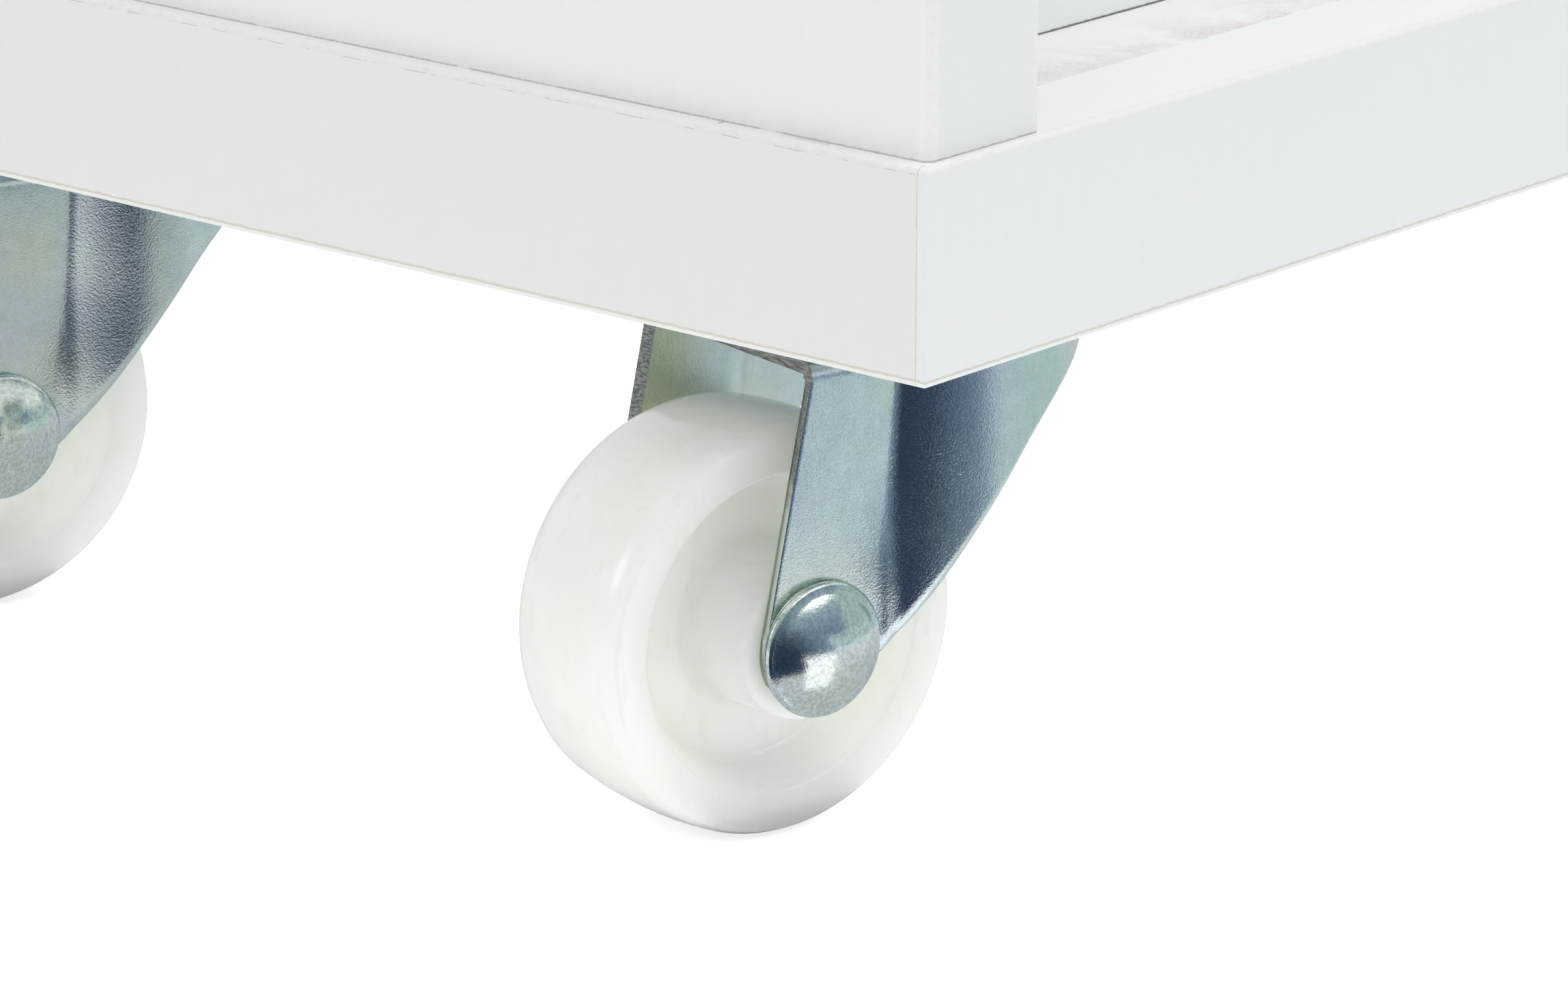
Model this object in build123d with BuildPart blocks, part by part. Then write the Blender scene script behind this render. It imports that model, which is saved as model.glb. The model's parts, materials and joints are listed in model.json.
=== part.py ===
from build123d import *
import os
from math import cos, radians, sin, tan

os.makedirs("parts", exist_ok=True)

# Cabinet: X runs across the cart, -Y is its narrow front with the handle, Z is up from the floor.
# The side wall is on +X and the open side on -X. The origin is on the floor under the board's middle.
cart_width = 240
cart_depth = 450
cart_height = 800
board_thickness = 24
panel_thickness = 19
wall_thickness = 16
band_thickness = 1.3
board_arris = 0.9
panel_arris = 1.2
panel_inset_front = 2.1
panel_inset_side = 1.5
wall_inset = 28.4
shelf_count = 2
shelf_setback = 2.0
shelf_play = 0.5

# Casters
caster_height = 71.5
wheel_diameter = 50
wheel_width = 19.8
trail = 24.0
caster_inset_front = 63.1
caster_inset_side = 54.6
sheet = 1.8
fork_width = 33.0
crown_radius = 21.5
crown_top = 59.0
running_clearance = 0.05

half_width = cart_width / 2
half_depth = cart_depth / 2
axle_height = wheel_diameter / 2
board_top = caster_height + board_thickness
lid_bottom = cart_height - board_thickness
panel_height = lid_bottom - board_top
panel_half_width = half_width - panel_inset_side
panel_face = half_depth - panel_inset_front
panel_inner = panel_face - panel_thickness
panel_middle = panel_face - panel_thickness / 2
wall_outer = panel_half_width - wall_inset
wall_inner = wall_outer - wall_thickness
wall_middle = wall_outer - wall_thickness / 2

# Fastenings of the cabinet
confirmat_radius = 3.5
confirmat_length = 50
confirmat_head_radius = 5.0
confirmat_head = 3.0
confirmat_x = 70
confirmat_y = 95
dowel_radius = 4.0
dowel_in_lid = 12.0
dowel_in_panel = 18.0
dowel_x = 65
dowel_y = 95
pin_radius = 2.5
pin_depth = 8.0
pin_reach = 9.0
pin_edge = 37.0
rod_radius = 4.0
rod_depth = 8.0
rod_height = 46.0
rod_inset = 11.0

# Handle
handle_span = 96
handle_width = 14
handle_height = 30
handle_rise = 21
handle_thickness = 7.0
handle_foot = 12.0
handle_edge = 1.0
handle_level = 690
handle_screw_radius = 2.0
handle_screw_grip = 9.0
handle_screw_head_radius = 4.0
handle_screw_head = 2.4

panel_joints = [(x, side * panel_middle) for x in (-confirmat_x, confirmat_x) for side in (-1, 1)]
wall_joints = [(wall_middle, y) for y in (-confirmat_y, confirmat_y)]
lid_dowels = [(x, side * panel_middle) for x in (-dowel_x, dowel_x) for side in (-1, 1)]
lid_dowels += [(wall_middle, y) for y in (-dowel_y, dowel_y)]

shelf_gap = (panel_height - shelf_count * panel_thickness) / (shelf_count + 1)
shelf_levels = [board_top + (i + 1) * shelf_gap + i * panel_thickness for i in range(shelf_count)]
floor_levels = [board_top] + [level + panel_thickness for level in shelf_levels]
pin_x = (-panel_half_width + pin_edge, wall_inner - pin_edge)
rod_x = -half_width + rod_inset


def finish(part, name):
    """Name one finished piece and write it."""
    part.label = name
    export_step(part, f"parts/{name}.step")


def confirmat_solid():
    """One-piece joining screws: a flat head let into the underside and a plain shank."""
    with BuildPart() as screws:
        with BuildSketch(Plane.XY.offset(caster_height)):
            with Locations(*panel_joints, *wall_joints):
                Circle(confirmat_head_radius)
        extrude(amount=confirmat_head)
        with BuildSketch(Plane.XY.offset(caster_height + confirmat_head)):
            with Locations(*panel_joints, *wall_joints):
                Circle(confirmat_radius)
        extrude(amount=confirmat_length - confirmat_head)
    return screws.part


def dowel_solid():
    """Wooden dowels that place the top board."""
    with BuildPart() as dowels:
        with BuildSketch(Plane.XY.offset(lid_bottom - dowel_in_panel)):
            with Locations(*lid_dowels):
                Circle(dowel_radius)
        extrude(amount=dowel_in_panel + dowel_in_lid)
    return dowels.part


def pin_solid():
    """Shelf pins: four under each shelf, half in the panel and half under the shelf."""
    with BuildPart() as pins:
        for side in (-1, 1):
            start = side * (panel_inner + pin_depth)
            bore_end = Plane((0, start, 0), x_dir=(1, 0, 0), z_dir=(0, -side, 0))
            with BuildSketch(bore_end):
                for level in shelf_levels:
                    up = side * (level - pin_radius)
                    with Locations((pin_x[0], up), (pin_x[1], up)):
                        Circle(pin_radius)
            extrude(amount=pin_depth + pin_reach)
    return pins.part


def rod_solid(level):
    """A guard rod across the open side, its ends in blind bores."""
    length = 2 * (panel_inner + rod_depth)
    end_plane = Plane((rod_x, -length / 2, level + rod_height), x_dir=(1, 0, 0), z_dir=(0, 1, 0))
    with BuildPart() as rod:
        with BuildSketch(end_plane):
            Circle(rod_radius)
        extrude(amount=length)
    return rod.part


def handle_screw_solid():
    """Two pan-head screws from inside the front panel into the handle's feet."""
    head_face = -panel_inner + handle_screw_head
    with BuildPart() as screws:
        inside = Plane((0, head_face, handle_level), x_dir=(1, 0, 0), z_dir=(0, -1, 0))
        with BuildSketch(inside):
            with Locations((-handle_span / 2, 0), (handle_span / 2, 0)):
                Circle(handle_screw_head_radius)
        extrude(amount=handle_screw_head)
        panel_back = Plane((0, -panel_inner, handle_level), x_dir=(1, 0, 0), z_dir=(0, -1, 0))
        with BuildSketch(panel_back):
            with Locations((-handle_span / 2, 0), (handle_span / 2, 0)):
                Circle(handle_screw_radius)
        extrude(amount=panel_thickness + handle_screw_grip)
    return screws.part


confirmats = confirmat_solid()
dowels = dowel_solid()
pins = pin_solid()
rods = {name: rod_solid(level) for name, level in zip(("bottom", "lower", "upper"), floor_levels)}
handle_screws = handle_screw_solid()


# Bottom and top boards: one banded slab each, cut into its core and four bands
def board_piece(base, region, bores):
    """The share of a banded slab that lies in a region (x, y, size x, size y), less its bores."""
    x, y, size_x, size_y = region
    with BuildPart() as piece:
        with BuildSketch(Plane.XY.offset(base)):
            Rectangle(cart_width, cart_depth)
        extrude(amount=board_thickness)
        fillet(piece.edges().filter_by(Axis.Z, reverse=True), board_arris)
        with BuildSketch(Plane.XY.offset(base)):
            with Locations((x, y)):
                Rectangle(size_x, size_y)
        extrude(amount=board_thickness, mode=Mode.INTERSECT)
        for bore in bores:
            add(bore, mode=Mode.SUBTRACT)
    return piece.part


core_width = cart_width - 2 * band_thickness
core_depth = cart_depth - 2 * band_thickness
band_x = half_width - band_thickness / 2
band_y = half_depth - band_thickness / 2
board_regions = {
    "band_wall_side": (band_x, 0, band_thickness, cart_depth),
    "band_open_side": (-band_x, 0, band_thickness, cart_depth),
    "band_front": (0, -band_y, core_width, band_thickness),
    "band_rear": (0, band_y, core_width, band_thickness),
}
core_region = (0, 0, core_width, core_depth)

finish(board_piece(caster_height, core_region, [confirmats]), "bottom_board")
finish(board_piece(lid_bottom, core_region, [dowels]), "top_board")
for side_name, region in board_regions.items():
    finish(board_piece(caster_height, region, []), f"bottom_{side_name}")
    finish(board_piece(lid_bottom, region, []), f"top_{side_name}")


# End panels: upright, with a band on each long edge
def panel_piece(side, x_range, bores):
    """The share of an end panel between two X values, less its bores."""
    with BuildPart() as piece:
        with BuildSketch(Plane.XY.offset(board_top)) as plan:
            with Locations((0, side * panel_middle)):
                Rectangle(2 * panel_half_width, panel_thickness)
            fillet(plan.vertices(), panel_arris)
        extrude(amount=panel_height)
        with BuildSketch(Plane.XY.offset(board_top)):
            with Locations((sum(x_range) / 2, side * panel_middle)):
                Rectangle(x_range[1] - x_range[0], panel_thickness)
        extrude(amount=panel_height, mode=Mode.INTERSECT)
        for bore in bores:
            add(bore, mode=Mode.SUBTRACT)
    return piece.part


panel_core = panel_half_width - band_thickness
panel_bores = [confirmats, dowels, pins, *rods.values()]
for side, name, extra in ((-1, "front_panel", [handle_screws]), (1, "rear_panel", [])):
    finish(panel_piece(side, (-panel_core, panel_core), panel_bores + extra), name)
    finish(panel_piece(side, (panel_core, panel_half_width), []), f"{name}_band_wall_side")
    finish(panel_piece(side, (-panel_half_width, -panel_core), []), f"{name}_band_open_side")

# Side wall between the end panels, set in from their edges
with BuildPart() as side_wall:
    with BuildSketch(Plane.XY.offset(board_top)):
        with Locations((wall_middle, 0)):
            Rectangle(wall_thickness, 2 * panel_inner)
    extrude(amount=panel_height)
    for bore in (confirmats, dowels):
        add(bore, mode=Mode.SUBTRACT)
finish(side_wall.part, "side_wall")

# Shelves: each lies on four pins and carries one band along its open edge
shelf_front = -panel_half_width + shelf_setback
shelf_length = 2 * (panel_inner - shelf_play)
for name, level in zip(("lower_shelf", "upper_shelf"), shelf_levels):
    band_edge = shelf_front + band_thickness
    with BuildPart() as shelf:
        with BuildSketch(Plane.XY.offset(level)):
            with Locations(((band_edge + wall_inner) / 2, 0)):
                Rectangle(wall_inner - band_edge, shelf_length)
        extrude(amount=panel_thickness)
    finish(shelf.part, name)
    with BuildPart() as shelf_band:
        with BuildSketch(Plane.XY.offset(level)):
            with Locations((shelf_front + band_thickness / 2, 0)):
                Rectangle(band_thickness, shelf_length)
        extrude(amount=panel_thickness)
        open_edges = shelf_band.faces().sort_by(Axis.X)[0].edges().filter_by(Axis.Y)
        fillet(open_edges, panel_arris)
    finish(shelf_band.part, f"{name}_band")

# Pull handle: a flat bow that swells out from two square feet
with BuildPart() as handle:
    bow_plane = Plane((0, -panel_face, handle_level - handle_width / 2), x_dir=(1, 0, 0), z_dir=(0, 0, 1))
    foot_out = (handle_span + handle_foot) / 2
    foot_in = (handle_span - handle_foot) / 2
    with BuildSketch(bow_plane):
        with BuildLine():
            outer_bow = ThreePointArc((-foot_out, -handle_rise), (0, -handle_height), (foot_out, -handle_rise))
            inner_rise = handle_rise - handle_thickness
            inner_bow = ThreePointArc(
                (-foot_in, -inner_rise), (0, handle_thickness - handle_height), (foot_in, -inner_rise)
            )
            Polyline(outer_bow @ 0, (-foot_out, 0), (-foot_in, 0), inner_bow @ 0)
            Polyline(outer_bow @ 1, (foot_out, 0), (foot_in, 0), inner_bow @ 1)
        make_face()
    extrude(amount=handle_width)
    outer_face = handle.faces().filter_by(GeomType.CYLINDER).sort_by(Axis.Y)[0]
    chamfer(outer_face.edges(), handle_edge)
    add(handle_screws, mode=Mode.SUBTRACT)
finish(handle.part, "handle")

finish(handle_screws, "handle_screws")
finish(confirmats, "confirmat_screws")
finish(dowels, "top_dowels")
finish(pins, "shelf_pins")
for name, rod in rods.items():
    finish(rod, f"{name}_guard_rod")

# One caster, in its own frame: swivel axis on Z, the wheel trailing to +X, the axle along Y
plate_size = 60
plate_thickness = 2.5
plate_corner = 5
plate_holes = 46
screw_head_radius = 4.2
screw_head = 2.3
race_radius = 20.5
race_lip = 18.6
race_bore = 17.2
race_gap = 0.4
cup_radius = 16.4
cup_rise = 3.5
kingpin_radius = 4.5
kingpin_head_radius = 8.5
kingpin_head = 2.4
crown_bend = 2.4
crease_radius = 1.5
leg_end_radius = 7.6
front_lean = 11.6
rear_slope = 51.3
skirt_bottom = 56.2
skirt_blend = 32.0
axle_radius = 3.0
rivet_radius = 7.7
rivet_flange = 1.6
rivet_dome = 1.9
rivet_flat = 5.0
tread_flat = 7.6
tread_edge_radius = 23.0
recess_radius = 19.0
web_thickness = 6.0
hub_radius = 9.0
hub_gap = 0.3

leg_face = fork_width / 2
crown_under = crown_top - sheet
cup_top = crown_top + cup_rise
plate_bottom = caster_height - plate_thickness


def around_axle(angle):
    """A point on the rounded end of the leg, in the side view (x, z)."""
    turn = radians(angle)
    return trail + leg_end_radius * cos(turn), axle_height + leg_end_radius * sin(turn)


# The mounting plate, with a hole for the kingpin
with BuildPart() as plate:
    with BuildSketch(Plane.XY.offset(plate_bottom)):
        RectangleRounded(plate_size, plate_size, plate_corner)
    extrude(amount=plate_thickness)
    with Locations((0, 0, caster_height)):
        Hole(kingpin_radius)

# The race ring: pressed under the plate, its lip reaches down round the fork's cup
with BuildPart() as race_ring:
    with BuildSketch(Plane.XZ):
        with BuildLine():
            Polyline(
                (kingpin_radius, plate_bottom),
                (race_radius, plate_bottom),
                (race_radius, plate_bottom - plate_thickness),
                (race_lip, cup_top - cup_rise / 3),
                (race_bore, cup_top - cup_rise / 3),
                (race_bore, cup_top + race_gap),
                (kingpin_radius, cup_top + race_gap),
                close=True,
            )
        make_face()
    revolve(axis=Axis.Z)

# The kingpin: a headed rivet up through the fork's cup, the race ring and the plate
with BuildPart() as kingpin:
    head_top = cup_top - sheet - race_gap
    with BuildSketch(Plane.XY.offset(head_top - kingpin_head)):
        Circle(kingpin_head_radius)
    extrude(amount=kingpin_head)
    chamfer(kingpin.faces().sort_by(Axis.Z)[0].edges(), kingpin_head / 2)
    with BuildSketch(Plane.XY.offset(head_top)):
        Circle(kingpin_radius)
    extrude(amount=caster_height - head_top)

# The fork, pressed from one sheet: a round crown with a deep skirt, and two flat legs that
# leave the skirt at a crease. Seen from the side, its front and rear edges run tangent to the
# legs' round ends, and the rear edge levels out into the skirt's hem.
leg_reach = 2 * trail
with BuildPart() as fork:
    with BuildSketch(Plane.XY) as outline:
        Circle(crown_radius)
        with Locations((leg_reach / 2, 0)):
            Rectangle(leg_reach, fork_width)
        fillet(outline.vertices().group_by(Axis.X)[0], crease_radius)
    extrude(amount=crown_top)
    chamfer(fork.faces().sort_by(Axis.Z)[-1].edges(), crown_bend)
    with BuildSketch(Plane.XY):
        offset(outline.sketch, -sheet)
    extrude(amount=crown_under, mode=Mode.SUBTRACT)
    with BuildSketch(Plane.XZ) as side_view:
        with BuildLine():
            rear_turn = 270 - rear_slope
            leg_end = CenterArc((trail, axle_height), leg_end_radius, rear_turn, 360 - rear_turn + front_lean)
            front_x, front_z = around_axle(front_lean)
            rear_x, rear_z = around_axle(rear_turn)
            front_top = (front_x - (crown_top - front_z) * tan(radians(front_lean)), crown_top)
            hem = (rear_x - (skirt_bottom - rear_z) / tan(radians(rear_slope)), skirt_bottom)
            back = -1.5 * crown_radius
            Polyline(leg_end @ 1, front_top, (back, crown_top), (back, skirt_bottom), hem, leg_end @ 0)
        make_face()
        fillet(side_view.vertices().sort_by_distance(hem)[0], skirt_blend)
    extrude(amount=fork_width, both=True, mode=Mode.INTERSECT)
    with BuildSketch(Plane.XY.offset(crown_top)):
        Circle(cup_radius)
    extrude(amount=cup_rise)
    with BuildSketch(Plane.XY.offset(crown_under)):
        Circle(cup_radius - sheet)
    extrude(amount=cup_rise, mode=Mode.SUBTRACT)
    with Locations((0, 0, cup_top)):
        Hole(kingpin_radius + running_clearance, depth=2 * sheet)
    with BuildSketch(Plane.XZ):
        with Locations((trail, axle_height)):
            Circle(axle_radius)
    extrude(amount=fork_width, both=True, mode=Mode.SUBTRACT)

# Turned pieces: their half sections have the axle as first axis and the radius as second
axle_plane = Plane((trail, 0, axle_height), x_dir=(0, 1, 0), z_dir=(1, 0, 0))
axle_line = Axis((trail, 0, axle_height), (0, 1, 0))

# The axle: a rivet with a flanged, domed head outside each leg
with BuildPart() as axle:
    flange_end = leg_face + rivet_flange
    with BuildSketch(axle_plane):
        with BuildLine():
            Polyline(
                (0, 0),
                (0, axle_radius),
                (leg_face, axle_radius),
                (leg_face, rivet_radius),
                (flange_end, rivet_radius),
                (flange_end + rivet_dome, rivet_flat),
                (flange_end + rivet_dome, 0),
                close=True,
            )
        make_face()
        mirror(about=Plane.YZ)
    revolve(axis=axle_line)

# The wheel: its tread falls away to rounded shoulders, its sides are dished round a long hub
with BuildPart() as wheel:
    tread_radius = wheel_diameter / 2
    rim_face = wheel_width / 2
    hub_end = leg_face - sheet - hub_gap
    with BuildSketch(axle_plane):
        with BuildLine():
            Polyline(
                (0, axle_radius + running_clearance),
                (hub_end, axle_radius + running_clearance),
                (hub_end, hub_radius),
                (web_thickness / 2, hub_radius),
                (web_thickness / 2, recess_radius),
                (rim_face, recess_radius),
                (rim_face, tread_edge_radius),
                (tread_flat, tread_radius),
                (0, tread_radius),
                close=True,
            )
        make_face()
        mirror(about=Plane.YZ)
    revolve(axis=axle_line)

# Each caster stands in its corner, turned to the angle at which it trails
caster_x = half_width - caster_inset_side
caster_y = half_depth - caster_inset_front
casters = {
    "front_right": (caster_x, -caster_y, 256.4),
    "front_left": (-caster_x, -caster_y, 250.0),
    "rear_right": (caster_x, caster_y, 247.0),
    "rear_left": (-caster_x, caster_y, 275.0),
}
for corner, (x, y, turn) in casters.items():
    for kind, piece in (("fork", fork), ("axle", axle), ("wheel", wheel)):
        finish(piece.part.moved(Location((x, y, 0), (0, 0, turn))), f"{corner}_{kind}")

# The fixed pieces over the forks are alike in each corner, so each kind is one set of four
for name, piece in (("caster_plates", plate), ("race_rings", race_ring), ("kingpins", kingpin)):
    with BuildPart() as set_of_four:
        with GridLocations(2 * caster_x, 2 * caster_y, 2, 2):
            add(piece.part)
    finish(set_of_four.part, name)

# Heads of the screws that hold the plates, one set
with BuildPart() as caster_screws:
    with BuildSketch(Plane.XY.offset(plate_bottom - screw_head)):
        with GridLocations(2 * caster_x, 2 * caster_y, 2, 2):
            with GridLocations(plate_holes, plate_holes, 2, 2):
                RegularPolygon(screw_head_radius, 6)
    extrude(amount=screw_head)
finish(caster_screws.part, "caster_screws")
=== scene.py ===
import json
from math import atan2, cos, pi, radians, sin, tan

import bmesh
import bpy
import numpy as np
from mathutils import Matrix, Vector


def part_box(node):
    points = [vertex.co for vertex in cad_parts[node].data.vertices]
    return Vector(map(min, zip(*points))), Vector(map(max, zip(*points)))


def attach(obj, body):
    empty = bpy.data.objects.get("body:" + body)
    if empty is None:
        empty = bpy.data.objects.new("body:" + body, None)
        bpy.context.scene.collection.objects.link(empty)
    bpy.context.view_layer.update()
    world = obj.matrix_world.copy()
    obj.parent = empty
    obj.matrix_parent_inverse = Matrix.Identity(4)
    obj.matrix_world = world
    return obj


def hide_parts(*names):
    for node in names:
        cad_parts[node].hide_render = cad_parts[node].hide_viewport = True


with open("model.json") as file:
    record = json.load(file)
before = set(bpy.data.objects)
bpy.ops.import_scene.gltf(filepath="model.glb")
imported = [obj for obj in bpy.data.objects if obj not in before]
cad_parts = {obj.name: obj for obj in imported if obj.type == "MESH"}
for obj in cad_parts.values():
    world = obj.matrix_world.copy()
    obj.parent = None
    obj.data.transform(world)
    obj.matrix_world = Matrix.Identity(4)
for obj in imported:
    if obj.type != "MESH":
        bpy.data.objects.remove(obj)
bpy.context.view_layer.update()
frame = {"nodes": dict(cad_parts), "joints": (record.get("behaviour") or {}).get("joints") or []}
nodes = frame["nodes"]
joints = {joint["name"]: joint for joint in frame["joints"]}
corners = ["front_right", "front_left", "rear_right", "rear_left"]
mm = 0.001  # scene unit is the metre, forms below are in millimetres

# plan position of the bottom board's corner nearest the camera
boardCorner = (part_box("bottom_band_wall_side")[1].x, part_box("bottom_band_wall_side")[0].y)


class Signal:
    # One output of a shader node. Arithmetic on it adds Math nodes, and node() adds any other kind.

    def __init__(self, tree, socket=None):
        self.tree, self.socket = tree, socket

    def node(self, kind, settings=None, inputs=None, output=0):
        made = self.tree.nodes.new("ShaderNode" + kind)
        for name, value in (settings or {}).items():
            setattr(made, name, value)
        for name, value in (inputs or {}).items():
            if isinstance(value, Signal):
                self.tree.links.new(value.socket, made.inputs[name])
            elif value is not None:
                made.inputs[name].default_value = value
        return Signal(self.tree, made.outputs[output] if made.outputs else None)

    def math(self, operation, *values):
        return self.node("Math", {"operation": operation}, dict(enumerate(values)))

    def __add__(self, other):
        return self.math("ADD", self, other)

    def __sub__(self, other):
        return self.math("SUBTRACT", self, other)

    def __mul__(self, other):
        return self.math("MULTIPLY", self, other)

    def __pow__(self, other):
        return self.math("POWER", self, other)

    def __abs__(self):
        return self.math("ABSOLUTE", self)

    def other(self, name):
        # another output of the same node
        return Signal(self.tree, self.socket.node.outputs[name])

    def ramp(self, low, high, toLow=0.0, toHigh=1.0):
        # smooth step from toLow at low to toHigh at high
        ends = {"From Min": low, "From Max": high, "To Min": toLow, "To Max": toHigh}
        return self.node("MapRange", {"interpolation_type": "SMOOTHSTEP"}, {"Value": self, **ends})

    def between(self, rise, full, fade, gone):
        # 0 up to rise, 1 from full to fade, and 0 again from gone
        return self.ramp(rise, full) * self.ramp(fade, gone, 1.0, 0.0)

    def near(self, place, width):
        # 1 on a line, falling to 0 at that width from it
        return abs(self - place).ramp(0.0, width, 1.0, 0.0)

    def scaled(self, factors):
        # a vector times a vector
        return self.node("VectorMath", {"operation": "MULTIPLY"}, {0: self, 1: factors})

    def drawnOut(self, axis, share):
        # a place with one coordinate shrunk to that share, so that noise on it runs out along the axis
        factors = [1.0, 1.0, 1.0]
        factors[axis] = share
        return self.scaled(tuple(factors))

    def dimmed(self, colour):
        # a colour times this value
        return self.node("VectorMath", {"operation": "SCALE"}, {0: colour, "Scale": self})

    def split(self):
        parts = self.node("SeparateXYZ", {}, {0: self})
        return parts, parts.other("Y"), parts.other("Z")

    def noise(self, size, detail=2.0, roughness=0.5):
        # cloudy noise on a vector in millimetres, with features of that size
        wanted = {"Vector": self, "Scale": 1.0 / size, "Detail": detail, "Roughness": roughness}
        return self.node("TexNoise", {}, wanted)

    def cells(self, size):
        # distance to the nearest of scattered points, that far apart
        return self.node("TexVoronoi", {}, {"Vector": self, "Scale": 1.0 / size, "Randomness": 1.0})

    def blend(self, first, second):
        # mixes two colours by this value; 6, 7 and 2 are the Mix node's colour sockets
        return self.node("Mix", {"data_type": "RGBA"}, {"Factor": self, 6: first, 7: second}, 2)


def rgb(red, green, blue):
    # an 8-bit screen colour as the linear colour that shaders take
    screen = np.array([red, green, blue]) / 255
    linear = np.where(screen <= 0.04045, screen / 12.92, ((screen + 0.055) / 1.055) ** 2.4)
    return (*(float(channel) for channel in linear), 1.0)


def newFinish(name):
    # a material, a starting signal in its tree, and the place on the object in millimetres
    finish = bpy.data.materials.new(name)
    finish.use_nodes = True
    finish.node_tree.nodes.clear()
    start = Signal(finish.node_tree)
    place = start.node("TexCoord", output="Object").scaled((1 / mm, 1 / mm, 1 / mm))
    return finish, start, place


def surface(start, inputs, bump, strength, depth):
    # the Principled shader with a bump of that depth in millimetres
    relief = start.node("Bump", {}, {"Height": bump, "Strength": strength, "Distance": depth * mm})
    shader = start.node("BsdfPrincipled", {}, {**inputs, "Normal": relief})
    start.node("OutputMaterial", {}, {"Surface": shader})


# Cabinet finishes

boardLook = {
    "laminate": rgb(239, 240, 238),
    # painted shade: the top board gets a darker white than the same laminate, to hold back the lamp above
    "top": rgb(226, 227, 225),
    # painted light: the bottom board's upward face gets a lighter white than the same laminate
    "lightenedLedge": rgb(246, 247, 245),
    # painted light: the inset wall gets a lighter, cooler white that cancels the shade it stands in
    "lightenedInnerWall": rgb(243, 247, 249),
    "band": rgb(232, 232, 229),
    # painted light: the wall-side bands get a cooler copy of the band's white, as that side is lit by
    # cooler light
    "coolLitBand": rgb(233, 236, 237),
    # colour of the painted highlights along rounded arrises
    "arrisHighlight": rgb(245, 245, 243),
    "glue": rgb(200, 195, 180),
    "crack": rgb(74, 68, 72),
    "joint": rgb(150, 146, 150),
    "dust": rgb(214, 204, 198),
    "grime": rgb(176, 152, 118),
    "roughness": 0.42,
    "bumpStrength": 0.12,
    "bumpDepth": 0.05,
    "grainSize": 0.55,
    "grainShare": 0.06,
    "cloudSize": 70.0,
    "toneSpread": 0.03,
    "speckSpacing": 26.0,
    "speckSize": 0.22,
    "speckStrength": 0.55,
    "sheenSize": 9.0,
    "sheenSpread": 0.12,
}

# width in millimetres, share that is left, strength and colour of each kind of mark on the boards
boardMarks = {
    "wallFoot": (0.22, 1.2, 0.85, boardLook["crack"]),
    "panelFoot": (0.2, 0.75, 0.6, boardLook["joint"]),
    "bandFoot": (0.24, 1.2, 0.7, boardLook["joint"]),
    # painted highlights along the rounded arrises
    "panelArrisHighlight": (2.0, 1.4, 0.8, boardLook["arrisHighlight"]),
    "boardArrisHighlight": (0.6, 1.4, 0.9, boardLook["arrisHighlight"]),
    "glueLine": (0.26, 1.1, 0.7, boardLook["glue"]),
    "bandSeam": (0.22, 1.0, 0.85, boardLook["glue"]),
    "chips": (0.09, 0.35, 0.5, boardLook["joint"]),
    "wallJoint": (0.22, 1.2, 0.9, boardLook["crack"]),
}

# how ragged the marks are and where they have gaps, by the share that is left
raggedLook = {
    "size": 1.1,
    "share": 1.6,
    "gapSize": 4.5,
    "gapFrom": 0.62,
    "gapTo": 0.7,
    "coverWeight": 0.4,
}

# where the marks lie, in millimetres from an edge
markPlaces = {
    "foot": 0.05,
    "glueLine": 0.85,
    "arrisHighlight": 0.1,
    "chips": 0.8,
    "bandSeam": 1.3,
    "wallJoint": 0.1,
}

dustPlan = {
    "from": 92.0,
    "to": 105.0,
    "endsOver": 0.5,
    "wanderSize": 3.0,
    "wander": 1.6,
    "patchSize": 9.0,
    "grainSize": 0.3,
    "thin": 0.3,
    "grainStrength": 0.6,
    "roughness": 0.2,
    "speckSize": 0.32,
    "speckStrength": 0.7,
    "specksBefore": 2.0,
    "specksBeyond": 6.0,
}


def whiteCoat(place, colour, grainAxis):
    # melamine colour with broad tone, fine grain along one axis and a few dark specks; also gives its bump
    look = boardLook
    grain = place.drawnOut(grainAxis, look["grainShare"]).noise(look["grainSize"], 3.0, 0.6)
    cloud = place.noise(look["cloudSize"])
    tone = (grain - 0.5) * look["toneSpread"] + (cloud - 0.5) * look["toneSpread"] + 1.0
    speckReach = 2 * look["speckSize"] / look["speckSpacing"]
    speck = place.cells(look["speckSpacing"]).ramp(0.0, speckReach, 1.0, 0.0)
    coat = (speck * look["speckStrength"]).blend(tone.dimmed(colour[:3]), look["crack"])
    return coat, grain * 0.5 + place.noise(1.6) * 0.5


def boardSurface(start, place, coat, bump, rougher=0.0):
    # the boards' satin surface, a little uneven in roughness
    look = boardLook
    uneven = place.noise(look["sheenSize"]) * look["sheenSpread"]
    rough = uneven + (look["roughness"] - look["sheenSpread"] / 2) + rougher
    surface(start, {"Base Color": coat, "Roughness": rough}, bump, look["bumpStrength"], look["bumpDepth"])


def marked(coat, place, along, mark, level):
    # adds one kind of mark to a coat: a line at one level of a coordinate, ragged and with gaps
    width, cover, strength, colour = boardMarks[mark]
    look = raggedLook
    ragged = (place.noise(look["size"], 3.0, 0.7) - 0.5) * width * look["share"]
    lower = cover * look["coverWeight"]
    kept = place.noise(look["gapSize"], 3.0, 0.6).ramp(look["gapFrom"] - lower, look["gapTo"] - lower)
    line = (along + ragged).near(level, width) * kept
    return (line * strength).blend(coat, colour)


def finishBoard(name, tone, lines):
    # a white board; each of its lines is the kind of mark, the axis it is set out on and its level there
    finish, start, place = newFinish(name + "Finish")
    coat, bump = whiteCoat(place, boardLook[tone], 2)
    axes = dict(zip("xyz", place.split()))
    for mark, axis, level in lines:
        coat = marked(coat, place, axes[axis], mark, level)
    boardSurface(start, place, coat, bump)
    return finish


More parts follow.
